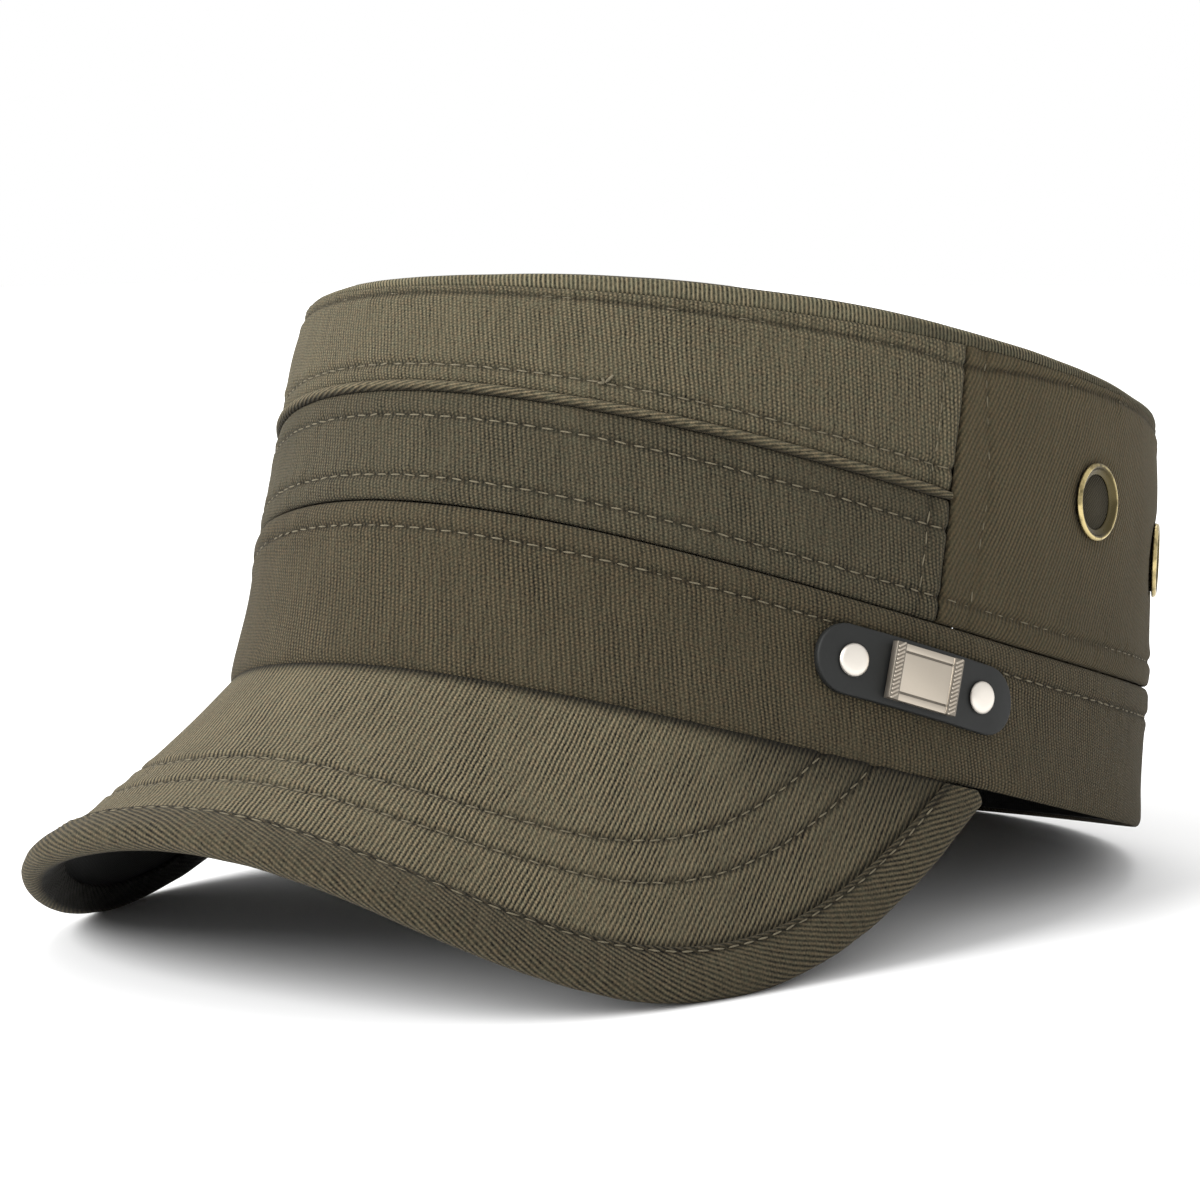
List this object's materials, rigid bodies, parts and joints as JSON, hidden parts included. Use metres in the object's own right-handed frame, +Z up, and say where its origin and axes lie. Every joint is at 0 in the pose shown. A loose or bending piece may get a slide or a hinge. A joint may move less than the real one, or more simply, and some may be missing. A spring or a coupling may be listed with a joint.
{
  "type": "military cap",
  "caption": "Flat-topped cloth military cap with an arched peak, corded front seam, vent eyelets and a small side badge, resting by itself.",
  "frame": {"origin": "centre of the cap's footprint on the surface that it rests on", "axes": "+Z up from the surface, -Y the way the peak points, +X the wearer's left, the side with the badge"},
  "size_m": [0.1662, 0.2542, 0.1189],
  "materials": {
    "crown_twill": "washed olive cotton twill with upright ribs",
    "piping_twill": "bias-cut olive twill over a cord",
    "band_twill": "washed olive cotton twill with upright ribs",
    "dark_lining": "near-black matte cotton",
    "peak_twill": "washed olive cotton twill with ribs from front to back",
    "binding_twill": "bias-cut olive twill with slanting ribs",
    "eyelet_brass": "antique polished brass",
    "vent_cloth": "dark olive open weave",
    "badge_leather": "smooth dark slate",
    "badge_metal": "satin, warm silver",
    "rivet_metal": "polished, pale"
  },
  "bodies": {
    "root": {"crown_top": "crown_twill", "front_panel_lower": "crown_twill", "front_panel_upper": "crown_twill", "piping": "piping_twill", "back_panel_left": "crown_twill", "back_panel_right": "crown_twill", "head_band": "band_twill", "sweatband": "dark_lining", "peak": "peak_twill", "peak_underside": "dark_lining", "peak_binding": "binding_twill", "eyelet_left_front": "eyelet_brass", "eyelet_left_back": "eyelet_brass", "eyelet_right_front": "eyelet_brass", "eyelet_right_back": "eyelet_brass", "vent_mesh_left_front": "vent_cloth", "vent_mesh_left_back": "vent_cloth", "vent_mesh_right_front": "vent_cloth", "vent_mesh_right_back": "vent_cloth", "badge_strap": "badge_leather", "badge_plate": "badge_metal", "badge_rivet_front": "rivet_metal", "badge_rivet_back": "rivet_metal"}
  },
  "joints": []
}
